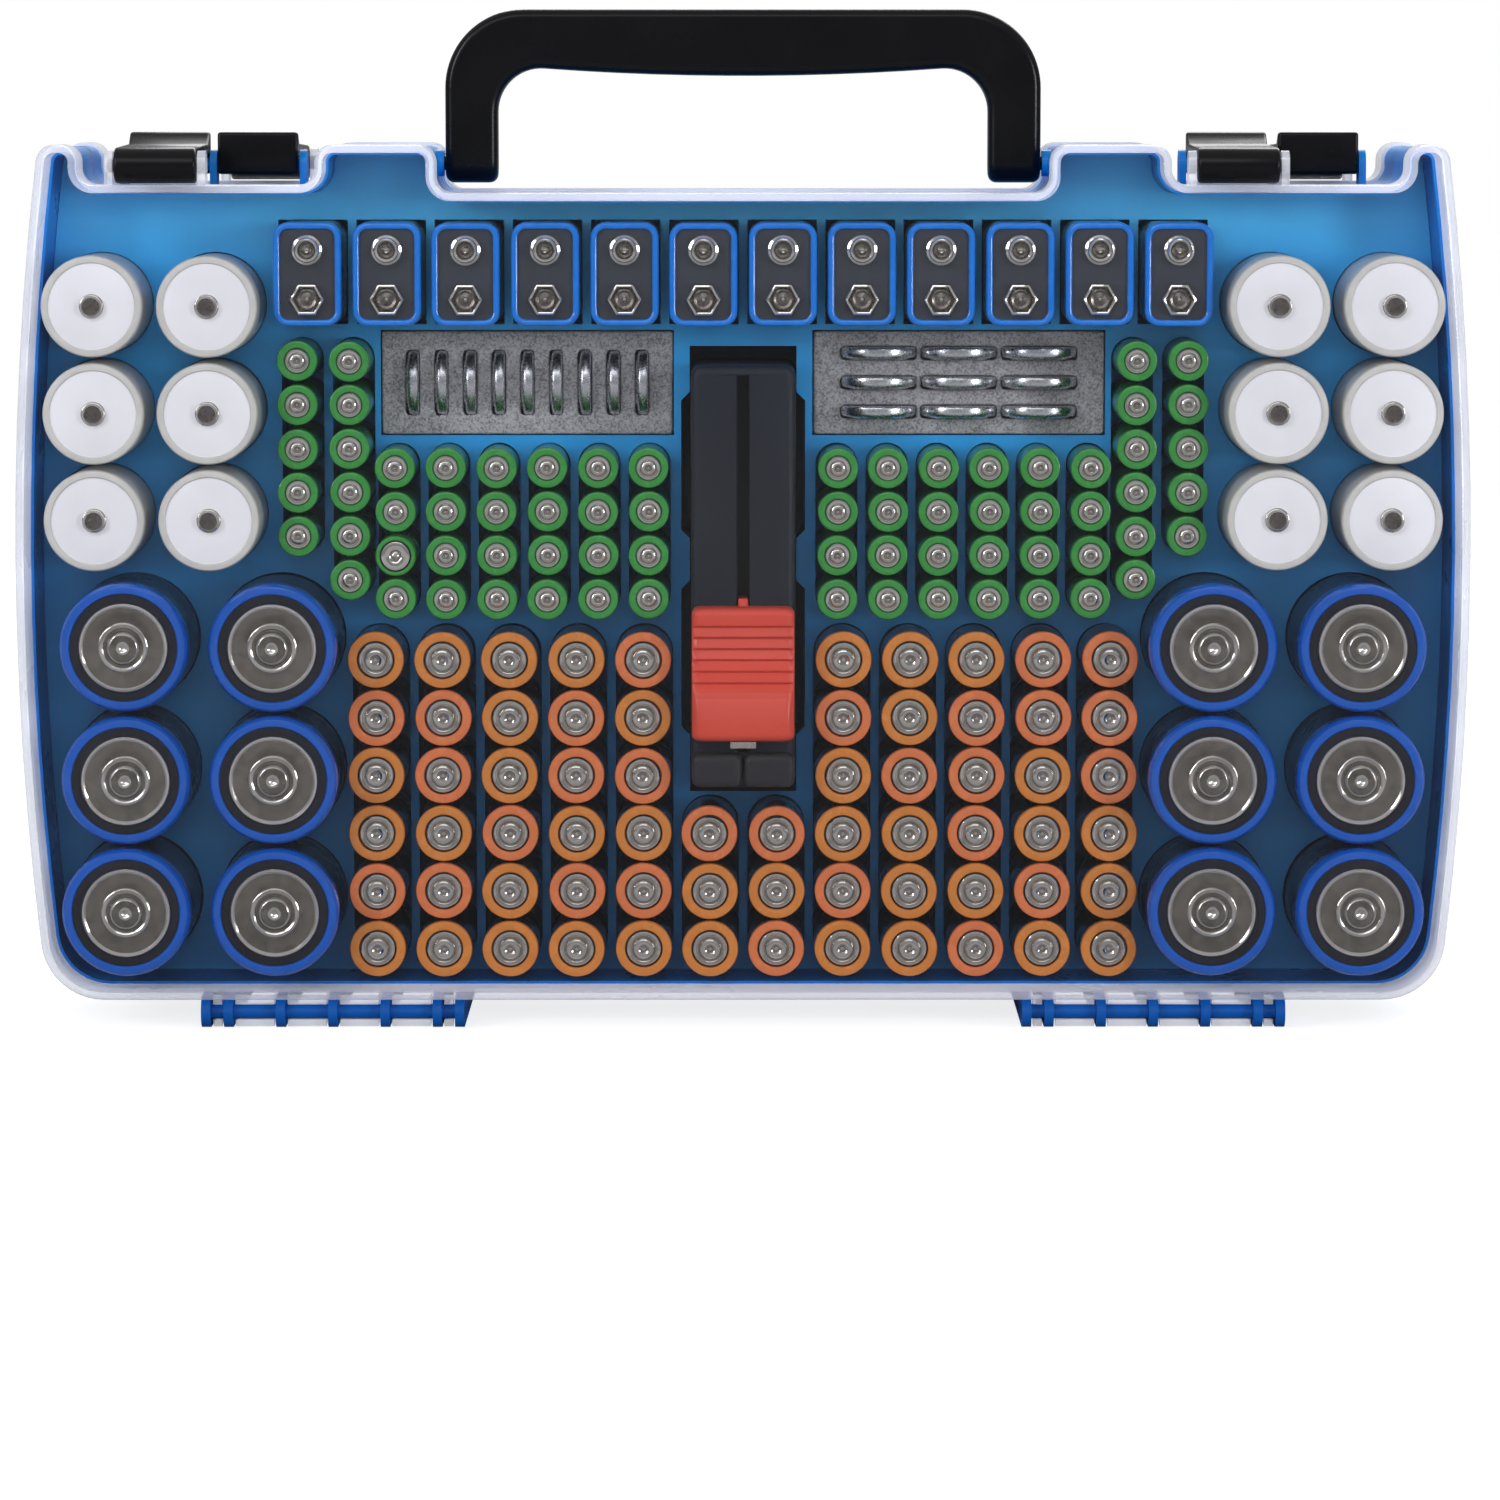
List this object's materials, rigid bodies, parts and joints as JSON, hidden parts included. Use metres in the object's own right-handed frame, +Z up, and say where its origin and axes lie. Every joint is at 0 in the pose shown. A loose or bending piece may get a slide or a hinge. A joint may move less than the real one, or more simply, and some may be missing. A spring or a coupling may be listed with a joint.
{
  "type": "battery storage case",
  "caption": "Upright double-sided carry case with two clear hinged covers, four latches, a swinging handle, a battery tester and trays full of loose cells.",
  "frame": {"origin": "bottom centre of the case, on the surface that the hinge feet stand on", "axes": "+X to the right, -Y to the front (the side with the standing cells and the tester), +Z up"},
  "size_m": [0.3658, 0.088, 0.2581],
  "materials": {
    "frame_blue": "moulded, satin",
    "tray_blue": "moulded, satin",
    "clear_cover": "clear moulded plastic",
    "black_plastic": "satin",
    "tester_dark": "satin",
    "slider_red": "satin",
    "contact_metal": "plated",
    "foam_grey": "soft foam",
    "coin_steel": "brushed",
    "cell_copper": "printed sleeve over metal can",
    "cell_green": "printed sleeve over metal can",
    "cell_white": "printed sleeve over metal can",
    "cell_blue": "printed sleeve over metal can",
    "cell_navy": "printed sleeve over metal can",
    "cell_yellow": "printed sleeve over metal can",
    "cell_gold": "printed sleeve over metal can",
    "cell_silver": "printed sleeve over metal can"
  },
  "bodies": {
    "case": {"case_frame": "frame_blue", "front_tray": "tray_blue", "rear_tray": "tray_blue", "tester_body": "tester_dark", "tester_anvil": "tester_dark", "coin_foam_left": "foam_grey", "coin_foam_right": "foam_grey", "coin_cells_left": "coin_steel", "coin_cells_right": "coin_steel", "aa_cells_front": "cell_copper", "aaa_cells_front": "cell_green", "c_cells": "cell_white", "d_cells": "cell_blue", "nine_volt_cells": "cell_blue", "li_ion_cells": "cell_yellow", "cr2_cells": "cell_white", "cr123_cells": "cell_silver", "six_volt_cells": "cell_gold", "remote_cells": "cell_silver", "aa_cells_rear": "cell_navy", "aaa_cells_rear_upper": "cell_green", "aaa_cells_rear_lower": "cell_green"},
    "front_cover": {"front_cover": "clear_cover"},
    "rear_cover": {"rear_cover": "clear_cover"},
    "carry_handle": {"carry_handle": "black_plastic"},
    "tester_slider": {"tester_slider": "slider_red", "slider_contact": "contact_metal"},
    "front_latch_left": {"front_latch_left": "black_plastic"},
    "front_latch_right": {"front_latch_right": "black_plastic"},
    "rear_latch_left": {"rear_latch_left": "black_plastic"},
    "rear_latch_right": {"rear_latch_right": "black_plastic"}
  },
  "joints": [
    {"name": "front_cover_hinge", "type": "hinge", "parent": "case", "child": "front_cover", "pos_m": [0, -0.031, 0.004], "axis": [1, 0, 0], "range_deg": [0, 180]},
    {"name": "rear_cover_hinge", "type": "hinge", "parent": "case", "child": "rear_cover", "pos_m": [0, 0.031, 0.004], "axis": [-1, 0, 0], "range_deg": [0, 180]},
    {"name": "carry_handle_pivot", "type": "hinge", "parent": "case", "child": "carry_handle", "pos_m": [0, 0, 0.219], "axis": [1, 0, 0], "range_deg": [-90, 90]},
    {"name": "tester_slide", "type": "slide", "parent": "case", "child": "tester_slider", "axis": [0, 0, 1], "range_m": [0, 0.056]},
    {"name": "front_latch_left_pivot", "type": "hinge", "parent": "front_cover", "child": "front_latch_left", "pos_m": [-0.147, -0.0365, 0.2188], "axis": [1, 0, 0], "range_deg": [0, 100]},
    {"name": "rear_latch_left_pivot", "type": "hinge", "parent": "rear_cover", "child": "rear_latch_left", "pos_m": [0.147, 0.0365, 0.2188], "axis": [-1, 0, 0], "range_deg": [0, 100]},
    {"name": "front_latch_right_pivot", "type": "hinge", "parent": "front_cover", "child": "front_latch_right", "pos_m": [0.124, -0.0365, 0.2188], "axis": [1, 0, 0], "range_deg": [0, 100]},
    {"name": "rear_latch_right_pivot", "type": "hinge", "parent": "rear_cover", "child": "rear_latch_right", "pos_m": [-0.124, 0.0365, 0.2188], "axis": [-1, 0, 0], "range_deg": [0, 100]}
  ]
}
